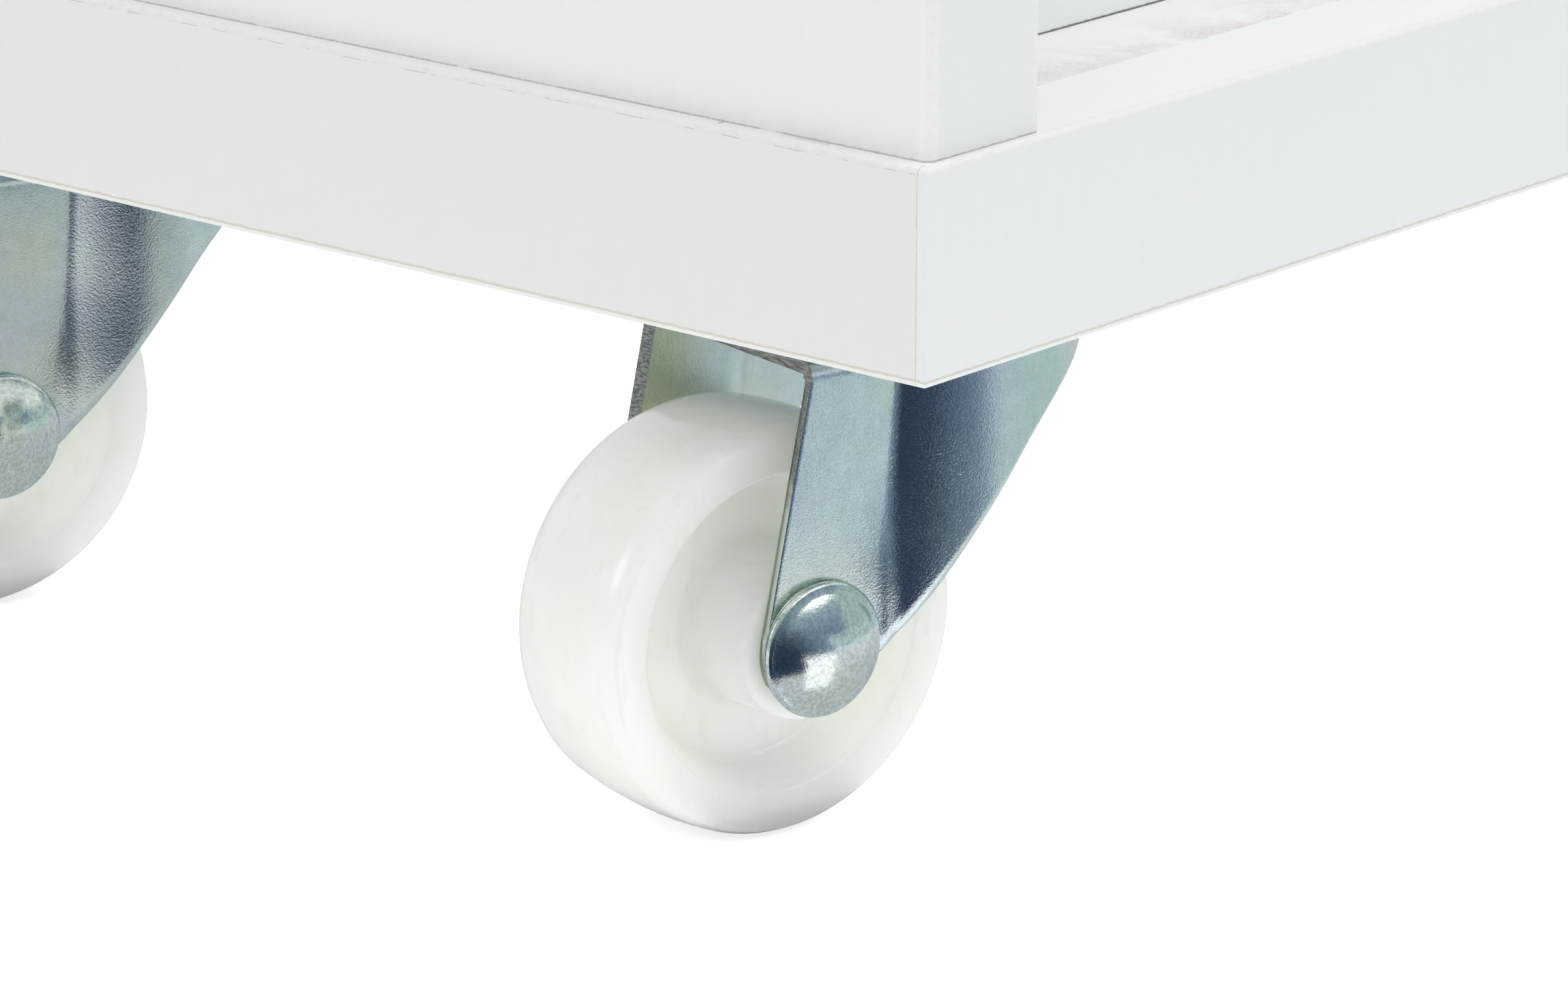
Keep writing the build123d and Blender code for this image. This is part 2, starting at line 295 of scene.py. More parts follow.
def finishBottomBoard(name):
    # a dusty strip along the inset wall, thickest at its outer edge, and a dark joint at the wall
    finish, start, place = newFinish(name + "Finish")
    # its lighter white is painted light on the upward face
    coat, bump = whiteCoat(place, boardLook["lightenedLedge"], 1)
    plan, x = dustPlan, place.split()[0]
    across = x + (place.noise(plan["wanderSize"], 3.0) - 0.5) * plan["wander"]
    strip = across.between(plan["from"], plan["to"], plan["to"], plan["to"] + plan["endsOver"])
    patchy = place.noise(plan["patchSize"], 3.0, 0.6).ramp(0.32, 0.62)
    grains = place.noise(plan["grainSize"], 3.0, 0.75).ramp(0.44, 0.62)
    thickness = strip * patchy * (grains * plan["grainStrength"] + plan["thin"])
    coat = thickness.blend(coat, boardLook["dust"])
    specks = place.noise(plan["speckSize"], 2.0, 0.8).ramp(0.68, 0.73) * place.noise(6.0).ramp(0.4, 0.6)
    specks = specks * x.ramp(plan["from"] - plan["specksBefore"], plan["from"])
    specks = specks * x.ramp(plan["to"], plan["to"] + plan["specksBeyond"], 1.0, 0.1)
    coat = (specks * plan["speckStrength"]).blend(coat, boardLook["grime"])
    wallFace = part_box("side_wall")[1].x / mm
    coat = marked(coat, place, x, "wallJoint", wallFace + markPlaces["wallJoint"])
    boardSurface(start, place, coat, bump, strip * plan["roughness"])
    return finish


def bandTone(name):
    # the bands on the wall side take the cooler, painted-light copy
    return "coolLitBand" if name.endswith("wall_side") else "band"


def panelBandLines(name, foot):
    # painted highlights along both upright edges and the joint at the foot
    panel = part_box(name[:name.index("_band")])
    return [("panelArrisHighlight", "y", side.y / mm) for side in panel] + [("bandFoot", "z", foot)]


def boardBandLines(name, low, high):
    # a glue line and a painted highlight along the band's top arris; the narrow ends also show corner seams
    # and a row of chips
    lines = [("glueLine", "z", low + markPlaces["glueLine"])]
    lines.append(("boardArrisHighlight", "z", high - markPlaces["arrisHighlight"]))
    if name.endswith(("front", "rear")):
        seam = boardCorner[0] / mm - markPlaces["bandSeam"]
        lines += [("bandSeam", "x", side * seam) for side in (-1, 1)]
        lines.append(("chips", "z", high - markPlaces["chips"]))
    return lines


def finishCabinet():
    for name, node in nodes.items():
        low, high = (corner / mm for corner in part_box(name))
        foot = low.z + markPlaces["foot"]
        if name == "bottom_board":
            finish = finishBottomBoard(name)
        elif name == "side_wall":
            # the inset wall's lighter white is painted light
            finish = finishBoard(name, "lightenedInnerWall", [("wallFoot", "z", foot)])
        elif name in ("front_panel", "rear_panel"):
            finish = finishBoard(name, "laminate", [("panelFoot", "z", foot)])
        elif name == "top_board":
            finish = finishBoard(name, "top", [])
        elif name in ("lower_shelf", "upper_shelf"):
            finish = finishBoard(name, "laminate", [])
        elif "panel_band" in name:
            finish = finishBoard(name, bandTone(name), panelBandLines(name, foot))
        elif "_band" in name:
            finish = finishBoard(name, bandTone(name), boardBandLines(name, low.z, high.z))
        else:
            continue
        node.data.materials[0] = finish


# Metal finishes

zincLook = {
    "blue": rgb(204, 215, 222),
    "teal": rgb(208, 221, 221),
    "green": rgb(214, 222, 208),
    # colour of the painted glints
    "paintedGlint": rgb(246, 250, 252),
    "inside": rgb(208, 214, 190),
    "roughness": 0.15,
    "insideRoughness": 0.34,
    "capRoughness": 0.13,
    "capPeel": 0.34,
    "capMottle": 0.3,
    "plateRoughness": 0.3,
    "tealSize": 11.0,
    "greenSize": 19.0,
    "greenStrength": 0.7,
    "peelSize": 0.27,
    "peelDepth": 0.06,
    "drawnSize": 0.35,
    "drawnShare": 0.05,
    "gritSize": 0.14,
    "cloudSize": 2.4,
    "blotchSize": 0.5,
    "glintSize": 0.2,
    "glintCluster": 3.0,
    "glintStrength": 0.8,
    "insideFrom": 16.0,
    "insideTo": 26.0,
}


def casterPlace(place, caster):
    # the place along a caster's own three axes, from its swivel
    home = place.node("VectorMath", {"operation": "SUBTRACT"}, {0: place, 1: tuple(caster.origin / mm)})
    dot = {"operation": "DOT_PRODUCT"}
    return [home.node("VectorMath", dot, {0: home, 1: tuple(axis)}, "Value") for axis in caster.axes]


def zincFinish(name, rough, peelShare=1.0, mottle=0.0, insideOf=None):
    # passivated zinc: bluish steel with drifting tint, orange peel and fine draw lines, with painted
    # glints: scattered bright spots in the colour, rougher there; mottle adds dark blotches, and the inside
    # of a fork turns greenish towards its front
    look = zincLook
    finish, start, place = newFinish(name)
    tint = place.noise(look["tealSize"]).ramp(0.35, 0.62).blend(look["blue"], look["teal"])
    green = place.noise(look["greenSize"], 1.0).ramp(0.5, 0.68)
    tint = (green * look["greenStrength"]).blend(tint, look["green"])
    peel = place.noise(look["peelSize"], 3.0, 0.55)
    drawn = place.drawnOut(2, look["drawnShare"]).noise(look["drawnSize"], 2.0, 0.6)
    grit = place.noise(look["gritSize"], 1.0)
    cloud = place.noise(look["cloudSize"], 3.0, 0.6)
    tone = (grit - 0.5) * 0.3 + (peel - 0.5) * 0.3 + (drawn - 0.5) * 0.1 + (cloud - 0.5) * 0.25 + 0.99
    if mottle:
        blotch = place.noise(look["blotchSize"], 4.0, 0.75).ramp(0.4, 0.6)
        tone = tone - (blotch - 0.5) * mottle
    if insideOf:
        forward = casterPlace(place, insideOf)[0] + place.noise(5.0) * 4.0
        tint = forward.ramp(look["insideFrom"], look["insideTo"]).blend(tint, look["inside"])
    # painted glints: bright spots mixed into the colour stand in for sparkling highlights
    paintedGlint = place.noise(look["glintSize"], 3.0, 0.8).ramp(0.69, 0.76)
    paintedGlint = paintedGlint * place.noise(look["glintCluster"], 3.0).ramp(0.42, 0.62)
    tint = (paintedGlint * look["glintStrength"]).blend(tone.dimmed(tint), look["paintedGlint"])
    roughness = grit * 0.14 + paintedGlint * 0.3 + (rough - 0.07)
    wanted = {"Base Color": tint, "Metallic": 1.0, "Roughness": roughness}
    surface(start, wanted, peel + grit * 0.2 + drawn * 0.05, 0.7, look["peelDepth"] * peelShare)
    return finish


shearLook = {
    "torn": rgb(104, 108, 108),
    "ridge": rgb(168, 170, 166),
    "pale": rgb(212, 221, 214),
    "darkAbove": 49.0,
    "paleBelow": 44.0,
    "lineSize": 0.2,
    "lineShare": 0.08,
    "wanderSize": 2.5,
    "wander": 6.0,
    "metal": 0.7,
    "tornRoughness": 0.6,
    "paleRoughness": 0.36,
    "depth": 0.06,
}


def shearFinish(caster):
    # the cut edge of the sheet: fine tear lines across its thickness, dark above, burnished pale below
    look = shearLook
    finish, start, place = newFinish(caster.corner + "_shearedEdge")
    along, through, z = casterPlace(place, caster)
    inEdge = start.node("CombineXYZ", {}, {"X": along, "Y": through * look["lineShare"], "Z": z})
    lines = inEdge.noise(look["lineSize"], 3.0, 0.7)
    level = z + place.noise(look["wanderSize"]) * look["wander"]
    pale = level.ramp(look["paleBelow"], look["darkAbove"], 1.0, 0.0)
    colour = lines.ramp(0.38, 0.62).blend(look["torn"], look["ridge"])
    colour = (pale * 0.9).blend(colour, look["pale"])
    rough = pale.ramp(0.0, 1.0, look["tornRoughness"], look["paleRoughness"]) + lines * 0.1
    wanted = {"Base Color": colour, "Metallic": look["metal"], "Roughness": rough}
    surface(start, wanted, lines, 0.8, look["depth"])
    return finish


drawnLook = {
    "lineSize": 0.35,
    "lineShare": 0.02,
    "wearSize": 18.0,
    "toneSpread": 0.12,
    "wearSpread": 0.08,
    "depth": 0.01,
}

# colour, roughness and the axis that the drawn lines run along, for each kind of steel
steelLooks = {
    "fastenerSteel": (rgb(196, 200, 202), 0.35, 2),
    "rodSteel": (rgb(214, 216, 218), 0.28, 1),
    "handleSteel": (rgb(208, 210, 212), 0.34, 0),
}


def steelFinish(name):
    # drawn or brushed steel with fine lines along one axis and a little uneven wear
    look = drawnLook
    colour, rough, lineAxis = steelLooks[name]
    finish, start, place = newFinish(name)
    lines = place.drawnOut(lineAxis, look["lineShare"]).noise(look["lineSize"], 3.0, 0.65)
    wear = place.noise(look["wearSize"], 3.0) * look["wearSpread"]
    uneven = lines * look["toneSpread"]
    tone = (uneven + (1 - look["toneSpread"] / 2)).dimmed(colour[:3])
    roughness = uneven + wear + (rough - (look["toneSpread"] + look["wearSpread"]) / 2)
    wanted = {"Base Color": tone, "Metallic": 1.0, "Roughness": roughness}
    surface(start, wanted, lines, 0.3, look["depth"])
    return finish


beechLook = {
    "dark": rgb(201, 160, 116),
    "pale": rgb(222, 188, 148),
    "ringSize": 0.8,
    "ringShare": 0.08,
    "roughness": 0.65,
}


def beechFinish():
    finish, start, place = newFinish("beechDowel")
    rings = place.drawnOut(2, beechLook["ringShare"]).noise(beechLook["ringSize"], 3.0, 0.6)
    colour = rings.ramp(0.3, 0.7).blend(beechLook["dark"], beechLook["pale"])
    surface(start, {"Base Color": colour, "Roughness": beechLook["roughness"]}, rings, 0.3, 0.05)
    return finish


# Wheel finish

nylonLook = {
    "colour": rgb(241, 243, 239),
    "shade": rgb(236, 238, 231),
    "scuff": rgb(214, 208, 192),
    "scuffStrength": 0.25,
    "scuffSize": 2.6,
    "scuffShare": 0.25,
    "milkSize": 16.0,
    "fineSize": 0.8,
    "roughness": 0.16,
    "refraction": 1.53,
    "glow": 1.0,
    "glowReach": 20.0,
    "glowColour": (0.95, 1.0, 0.85),
    # painted glow in the recess: its strength, colour, radius and soft edge
    "paintedGlow": 0.06,
    "paintedGlowColour": (1.0, 1.0, 0.97, 1.0),
    "paintedGlowRadius": 19.0,
    "paintedGlowSoft": 0.6,
}


def nylonFinish(caster):
    # moulded nylon: milky, slightly mottled, faintly scuffed; a painted glow, a faint emission in the
    # recess, stands in for light carried through it
    look = nylonLook
    finish, start, place = newFinish(caster.corner + "_whiteNylon")
    along = casterPlace(place, caster)
    fromAxle = ((along[0] - caster.trail) ** 2.0 + (along[2] - caster.axleHeight) ** 2.0) ** 0.5
    # painted glow: a faint emission inside the recess radius stands in for light carried through the nylon
    edge, soft = look["paintedGlowRadius"], look["paintedGlowSoft"]
    recess = fromAxle.ramp(edge - soft, edge + soft, 1.0, 0.0)
    body = place.noise(look["milkSize"]).ramp(0.3, 0.7).blend(look["colour"], look["shade"])
    scuff = place.drawnOut(2, look["scuffShare"]).noise(look["scuffSize"], 4.0, 0.65).ramp(0.5, 0.8)
    fine = place.noise(look["fineSize"], 3.0)
    wanted = {
        "Base Color": (scuff * look["scuffStrength"]).blend(body, look["scuff"]),
        "Roughness": fine * 0.06 + (look["roughness"] - 0.03),
        "Subsurface Weight": look["glow"],
        "Subsurface Radius": look["glowColour"],
        "Subsurface Scale": look["glowReach"] * mm,
        "IOR": look["refraction"],
        "Emission Color": recess.blend((0.0, 0.0, 0.0, 1.0), look["paintedGlowColour"]),
        "Emission Strength": look["paintedGlow"],
    }
    surface(start, wanted, fine + place.noise(6.0) * 2.0, 0.1, 0.05)
    return finish


# Mesh helpers

mergeDistance = 0.002  # millimetres
arcStep = radians(7.5)


def gridFaces(rows, columns, wrap=False, start=0):
    # quads between neighbouring rows and columns of a grid; wrap joins the last column to the first
    count = columns if wrap else columns - 1
    row, column = np.meshgrid(np.arange(rows - 1), np.arange(count), indexing="ij")
    after = (column + 1) % columns
    low, high = row * columns, (row + 1) * columns
    quads = np.stack((low + column, low + after, high + after, high + column), axis=-1)
    return quads.reshape(-1, 4) + start


def makePiece(name, points, faces, finishes, body, stoodFor):
    # a smooth mesh in metres that rides on a body and stands for a CAD node
    mesh = bpy.data.meshes.new(name)
    mesh.from_pydata(points.tolist(), [], faces.tolist())
    shape = bmesh.new()
    shape.from_mesh(mesh)
    bmesh.ops.remove_doubles(shape, verts=shape.verts, dist=mergeDistance * mm)
    shape.to_mesh(mesh)
    shape.free()
    mesh.polygons.foreach_set("use_smooth", [True] * len(mesh.polygons))
    piece = bpy.data.objects.new(name, mesh)
    bpy.context.scene.collection.objects.link(piece)
    for finish in finishes:
        mesh.materials.append(finish)
    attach(piece, body)
    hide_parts(stoodFor)
    return piece


def roundedPath(points, radii):
    # a path of straight runs with an arc of the given radius at each corner; the ends stay sharp
    path = [np.array(points[0], float)]
    for before, corner, after, radius in zip(points, points[1:], points[2:], radii):
        corner = np.array(corner, float)
        if radius == 0:
            path.append(corner)
            continue
        inward, outward = np.array(before) - corner, np.array(after) - corner
        inward, outward = inward / np.linalg.norm(inward), outward / np.linalg.norm(outward)
        half = np.arccos(np.clip(inward @ outward, -1, 1)) / 2
        middle = corner + (inward + outward) / np.linalg.norm(inward + outward) * radius / sin(half)
        first = corner + inward * radius / tan(half) - middle
        last = corner + outward * radius / tan(half) - middle
        turn = atan2(first[0] * last[1] - first[1] * last[0], first @ last)
        angles = np.linspace(0, turn, max(2, int(abs(turn) / arcStep) + 1))
        quarter = np.array((-first[1], first[0]))  # the first radius, a quarter turn on
        path.extend(middle + np.outer(np.cos(angles), first) + np.outer(np.sin(angles), quarter))
    path.append(np.array(points[-1], float))
    return np.array(path)


def turned(path, count, origin, axis):
    # a half section (distance along a level axis, radius) turned round that axis:
    # point = origin + axis * distance + radius * (across * cos + upright * sin)
    across = np.cross(axis, (0, 0, 1.0))
    upright = np.cross(axis, across)
    angles = np.linspace(0, 2 * np.pi, count, endpoint=False)
    ring = np.outer(np.cos(angles), across) + np.outer(np.sin(angles), upright)
    points = origin + path[:, None, :1] * axis + path[:, None, 1:] * ring[None, :, :]
    return points.reshape(-1, 3), gridFaces(len(path), count, wrap=True)


class Caster:
    # One caster's own axes, read from its joints: x towards the wheel, y along the axle, z up, with the
    # origin on the floor under the swivel.

    def __init__(self, corner):
        self.corner = corner
        swivel = np.array(joints[corner + "_swivel_turn"]["pos_m"])
        self.hub = np.array(joints[corner + "_wheel_spin"]["pos_m"])
        forward = self.hub - swivel
        forward[2] = 0
        self.trail = np.linalg.norm(forward) / mm
        forward = forward / np.linalg.norm(forward)
        self.axes = np.array((forward, (-forward[1], forward[0], 0), (0, 0, 1)))
        self.origin = np.array((swivel[0], swivel[1], 0))
        self.axleHeight = self.hub[2] / mm

    def place(self, points):
        # local millimetres to scene metres
        return self.origin + points * mm @ self.axes


# Fork: one pressed sheet

forkForm = {
    "width": 33.0,
    "sheet": 1.8,
    "crownRadius": 21.5,
    "crownTop": 59.0,
    "bend": 2.4,
    "creaseRadius": 2.8,
    "creaseWiden": 3.4,
    "creaseFrom": 54.0,
    "creaseLow": 30.0,
    "draft": 0.042,
    "draftFrom": 42.0,
    "legEnd": 7.6,
    "endSplit": radians(-50),
    "frontLean": radians(11.6),
    "rearSlope": radians(51.3),
    "hem": 56.2,
    "hemBlend": 32.0,
    "trim": 2.6,
    "trimBack": 9.0,
    "trimFront": 8.0,
    "pinch": 0.9,
    "pinchReach": 6.8,
    "pinchBehind": 1.8,
    "pinchTop": 44.0,
    "pinchLow": 29.0,
    "rollDepth": 0.32,
    "rollWidth": 1.1,
    "rollWiden": 1.7,
    "rollSteps": (0, 0.12, 0.26, 0.42, 0.62, 0.84, 1.0),
    "frontRollDepth": 0.09,
    "frontRollWidth": 0.45,
    "cupRadius": 16.4,
    "cupRise": 3.5,
    "cupFoot": 1.0,
    "cupEdge": 1.2,
    "pinHole": 4.55,
    "edgeSoftness": 0.12,
    "softenAbove": radians(50),
}


def eased(share):
    # a share from 0 to 1 that starts and ends gently
    return share ** 2 * (3 - 2 * share)


class ForkHalf:
    # The outer face of one half of a fork, in its caster's millimetres, as rows and columns of points.
    # Columns follow the plan outline: a round skirt that widens downwards, a hollow crease that opens out
    # downwards, and the flat leg. Rows climb from the lower edge up the wall, over the bend and across the
    # crown to the raised cup and its hole. Trim lowers the skirt's edge between its back and the crease.

    def __init__(self, form, trail, axleHeight, trim):
        self.form, self.trail, self.axleHeight, self.trim = form, trail, axleHeight, trim
        self.half = form["width"] / 2
        self.wallTop = form["crownTop"] - form["bend"]
        self.legTop = self.legStart(self.wallTop)
        self.around = np.linspace(0, 1, 72)
        self.fold = np.linspace(0, 1, 12)[1:]
        self.across = np.concatenate((np.linspace(0, 0.92, 26)[1:], np.linspace(0.92, 1, 9)[1:]))
        self.climb = np.linspace(0, 1, 26)[1:]
        slope, legEnd = form["rearSlope"], form["legEnd"]
        self.heel = np.array((trail - legEnd * sin(slope), axleHeight - legEnd * cos(slope)))
        self.lowX, self.lowZ = self.lowerEdge()

    def crease(self, z):
        # radius of the hollow crease at height z
        form = self.form
        down = np.clip((form["creaseFrom"] - z) / (form["creaseFrom"] - form["creaseLow"]), 0, 1)
        return form["creaseRadius"] + form["creaseWiden"] * down ** 2

    def skirtRadius(self, z):
        return self.form["crownRadius"] + self.form["draft"] * (self.form["draftFrom"] - z)

    def legStart(self, z):
        # where the flat leg meets the crease, whose circle touches both the leg and the skirt's circle
        return np.sqrt((self.skirtRadius(z) + self.crease(z)) ** 2 - (self.half + self.crease(z)) ** 2)

    def outline(self, z):
        # plan outline of skirt and crease and its outward normals, with the height of each column given
        skirtZ, foldZ = z[..., :len(self.around)], z[..., len(self.around):]
        touch = np.arctan2(self.half + self.crease(skirtZ), self.legStart(skirtZ))
        turn = np.pi + self.around * (touch - np.pi)
        start = np.pi + np.arctan2(self.half + self.crease(foldZ), self.legStart(foldZ))
        back = start + self.fold * (1.5 * np.pi - start)
        foldX = self.legStart(foldZ) + self.crease(foldZ) * np.cos(back)
        foldY = self.half + self.crease(foldZ) * (1 + np.sin(back))
        x = np.concatenate((self.skirtRadius(skirtZ) * np.cos(turn), foldX), axis=-1)
        y = np.concatenate((self.skirtRadius(skirtZ) * np.sin(turn), foldY), axis=-1)
        normX = np.concatenate((np.cos(turn), -np.cos(back)), axis=-1)
        normY = np.concatenate((np.sin(turn), -np.sin(back)), axis=-1)
        return x, y, normX, normY

    def pinched(self, points):
        # the sheet swells a little behind the lower end of the crease and fades out to all sides
        form = self.form
        x, z = points[..., 0], points[..., 2]
        peak = self.legStart(form["pinchLow"]) - form["pinchBehind"]
        ahead = np.clip((peak - x) / form["pinchReach"] + 1, 0, 1) ** 2
        behind = eased(np.clip(x / peak, 0, 1))
        low = eased(np.clip((form["pinchTop"] - z) / (form["pinchTop"] - form["pinchLow"]), 0, 1))
        swell = form["pinch"] * np.where(x > peak, ahead, behind) * low
        return points + swell[..., None] * (0, 1, 0)

    def lowerEdge(self):
        # side view of the skirt's lower edge: level hem, blend arc, then the straight slope to the heel;
        # a column's plan place depends on its height, so both are worked out in turns until they settle
        form, slope, heel = self.form, self.form["rearSlope"], self.heel
        hemX = heel[0] - (form["hem"] - heel[1]) / tan(slope)
        blendRun = form["hemBlend"] * tan(slope / 2)
        middle = (hemX - blendRun, form["hem"] - form["hemBlend"])
        z = np.full(len(self.around) + len(self.fold), form["draftFrom"])
        for settling in range(8):
            x = self.outline(z)[0]
            onSlope = heel[1] + (heel[0] - x) * tan(slope)
            inBlend = np.clip(x - middle[0], 0, form["hemBlend"] * sin(slope))
            onBlend = middle[1] + np.sqrt(form["hemBlend"] ** 2 - inBlend ** 2)
            z = np.where(x < hemX + blendRun * cos(slope), onBlend, onSlope)
            fromBack = np.clip((x + form["crownRadius"]) / form["trimBack"], 0, 1)
            fromLeg = np.clip((self.legStart(z) - x) / form["trimFront"], 0, 1)
            z = z - self.trim * fromBack * fromLeg
        return x, z

    def wallRows(self, length, widen):
        # how high each row lies above the lower edge, close together over the rolled edge and then evenly,
        # and how far it lies inside the face; widen goes from 0 at the skirt's back to 1 on the leg
        form = self.form
        width = np.minimum(form["rollWidth"] + form["rollWiden"] * widen, length * 0.45)
        rolled = np.array(form["rollSteps"])[:, None] * width
        rise = np.concatenate((rolled, width + self.climb[:, None] * (length - width)))
        depth = form["rollDepth"] * np.minimum(width / form["rollWidth"], 1)
        return rise, depth * np.clip(1 - rise / width, 0, 1) ** 2

    def skirtWall(self):
        widen = np.clip(self.lowX / self.lowX[-1], 0, 1) ** 2
        rise, drop = self.wallRows(self.wallTop - self.lowZ, widen)
        z = self.lowZ + rise
        x, y, normX, normY = self.outline(z)
        return np.stack((x - normX * drop, y - normY * drop, z), axis=-1)

    def legEndArc(self, turn):
        # points on the leg's round end, in side view
        x = self.trail + self.form["legEnd"] * np.cos(turn)
        return np.stack((x, self.axleHeight + self.form["legEnd"] * np.sin(turn)), axis=-1)

    def bottomEdge(self, share):
        # the leg's lower edge in side view, by share of its run: the slope to the heel, then the round end
        start = np.array((self.lowX[-1], self.lowZ[-1]))
        slopeRun = np.linalg.norm(self.heel - start)
        heelTurn = 1.5 * np.pi - self.form["rearSlope"]
        run = share * (slopeRun + self.form["legEnd"] * (self.form["endSplit"] + 2 * np.pi - heelTurn))
        onSlope = start + np.minimum(run / slopeRun, 1)[:, None] * (self.heel - start)
        onArc = self.legEndArc(heelTurn + np.maximum(run - slopeRun, 0) / self.form["legEnd"])
        return np.where((run > slopeRun)[:, None], onArc, onSlope)

    def frontEdge(self, share):
        # the leg's front edge in side view, by share of its run: the rest of the round end, then a line
        legEnd, lean, split = (self.form[word] for word in ("legEnd", "frontLean", "endSplit"))
        arcRun = legEnd * (lean - split)
        lineRun = (self.wallTop - self.axleHeight - legEnd * sin(lean)) / cos(lean)
        run = share * (arcRun + lineRun)
        onArc = self.legEndArc(split + np.minimum(run, arcRun) / legEnd)
        return onArc + np.maximum(run - arcRun, 0)[..., None] * (-sin(lean), cos(lean))

    def frontX(self, z):
        # where the leaning front line stands at height z
        toeX, toeZ = self.legEndArc(self.form["frontLean"])
        return toeX - (z - toeZ) * tan(self.form["frontLean"])

    def legWall(self):
        # the flat leg: a Coons patch between the lower edge, the front edge, the bend and the crease, that
        # is the sum of its two ruled surfaces less the surface ruled between its four corners
        form, across = self.form, self.across
        bottom = self.bottomEdge(across)
        topX = self.legTop + across * (self.frontX(self.wallTop) - self.legTop)
        top = np.stack((topX, np.full_like(across, self.wallTop)), axis=-1)
        length = np.linalg.norm(top - bottom, axis=1)
        rise, drop = self.wallRows(length, 1.0)
        share = rise / length
        leftZ = self.lowZ[-1] + share * (self.wallTop - self.lowZ[-1])
        left = np.stack((self.legStart(leftZ), leftZ), axis=-1)
        right = self.frontEdge(share)
        u, v = across[None, :, None], share[..., None]
        lowLeft = np.array((self.lowX[-1], self.lowZ[-1]))
        lowRight = self.bottomEdge(np.array([1.0]))[0]
        topLeft = np.array((self.legTop, self.wallTop))
        topRight = np.array((self.frontX(self.wallTop), self.wallTop))
        byCorners = (1 - v) * ((1 - u) * lowLeft + u * lowRight) + v * ((1 - u) * topLeft + u * topRight)
        flat = (1 - v) * bottom + v * top + (1 - u) * left + u * right - byCorners
        toFront = (1 - across) * np.abs(self.frontX(flat[..., 1]) - self.legTop)
        rolled = form["frontRollDepth"] * np.clip(1 - toFront / form["frontRollWidth"], 0, 1) ** 2
        return np.stack((flat[..., 0], self.half - np.maximum(drop, rolled), flat[..., 1]), axis=-1)

    def bendRows(self):
        # a quarter circle from the wall into the crown
        lift = np.linspace(0, np.pi / 2, 8)[1:, None]
        inset = self.form["bend"] * (1 - np.cos(lift))
        z = self.wallTop + self.form["bend"] * np.sin(lift)
        x, y, normX, normY = self.outline(np.full_like(self.lowX, self.wallTop))
        legX = self.legTop + self.across[None, :] * (self.frontX(z) - self.legTop)
        legY = np.broadcast_to(self.half - inset, legX.shape)
        x = np.concatenate((x - normX * inset, legX), axis=1)
        y = np.concatenate((y - normY * inset, legY), axis=1)
        return np.stack((x, y, np.broadcast_to(z, x.shape)), axis=-1)

    def crownRows(self, startX, startY):
        # rows from the crown's edge inwards along rays from the swivel axis: over the level crown, then up
        # the cup's rounded foot and edge and over its flat top to the hole
        form = self.form
        cup, foot, edge, rise = (form[word] for word in ("cupRadius", "cupFoot", "cupEdge", "cupRise"))
        quarter = np.linspace(0, np.pi / 2, 7)
        flat = np.linspace(cup - edge, form["pinHole"], 7)[1:]
        footRadius, edgeRadius = cup + foot * (1 - np.sin(quarter)), cup - edge * (1 - np.cos(quarter))
        ringRadius = np.concatenate((footRadius, edgeRadius, flat))
        footRise, edgeRise = foot * (1 - np.cos(quarter)), rise - edge * (1 - np.sin(quarter))
        ringRise = np.concatenate((footRise, edgeRise, np.full_like(flat, rise)))
        angle, reach = np.arctan2(startY, startX), np.hypot(startX, startY)
        inward = np.linspace(0, 1, 6)[1:-1, None]
        rings = np.broadcast_to(ringRadius[:, None], (len(ringRadius), len(angle)))
        radius = np.concatenate((reach + inward * (ringRadius[0] - reach), rings))
        z = form["crownTop"] + np.concatenate((np.zeros(len(inward)), ringRise))[:, None]
        z = np.broadcast_to(z, radius.shape)
        return np.stack((radius * np.cos(angle), radius * np.sin(angle), z), axis=-1)

    def sheet(self):
        # all rows of the half: wall, bend and crown
        wall = self.pinched(np.concatenate((self.skirtWall(), self.legWall()), axis=1))
        bend = self.bendRows()
        crown = self.crownRows(bend[-1, :, 0], bend[-1, :, 1])
        return np.concatenate((wall, bend, crown))

    def fan(self):
        # the columns behind the crown's straight front edge, which join the two halves
        x, y, z = self.bendRows()[-1, -1]
        frontY = np.linspace(y, -y, 26)
        frontX = np.full_like(frontY, x)
        front = np.stack((frontX, frontY, np.full_like(frontY, z)), axis=-1)
        return np.concatenate((front[None], self.crownRows(frontX, frontY)))


def forkSheet(form, trail, axleHeight):
    # the near half, the far half as its mirror image with a lower trim line, and the fan that joins them
    near = ForkHalf(form, trail, axleHeight, 0.0)
    far = ForkHalf(form, trail, axleHeight, form["trim"])
    whole = np.concatenate((far.sheet()[:, :0:-1] * (1, -1, 1), near.sheet()), axis=1)
    fan = near.fan()
    rows, columns = whole.shape[:2]
    points = np.concatenate((whole.reshape(-1, 3), fan.reshape(-1, 3)))
    faces = np.concatenate((gridFaces(rows, columns), gridFaces(*fan.shape[:2], start=rows * columns)))
    return points, faces[:, ::-1]


def buildFork(caster, outside, shear, inside):
    points, faces = forkSheet(forkForm, caster.trail, caster.axleHeight)
    name, body = caster.corner + "_fork", caster.corner + "_swivel"
    piece = makePiece(name + "_sheet", caster.place(points), faces, [outside, shear, inside], body, name)
    shell = piece.modifiers.new("sheetThickness", "SOLIDIFY")
    shell.thickness = forkForm["sheet"] * mm
    shell.offset = -1
    shell.use_even_offset = True
    shell.material_offset, shell.material_offset_rim = 2, 1
    soft = piece.modifiers.new("edgeSoftness", "BEVEL")
    soft.width = forkForm["edgeSoftness"] * mm
    soft.segments = 2
    soft.limit_method = "ANGLE"
    soft.angle_limit = forkForm["softenAbove"]


# Wheel: turned section, dished both sides

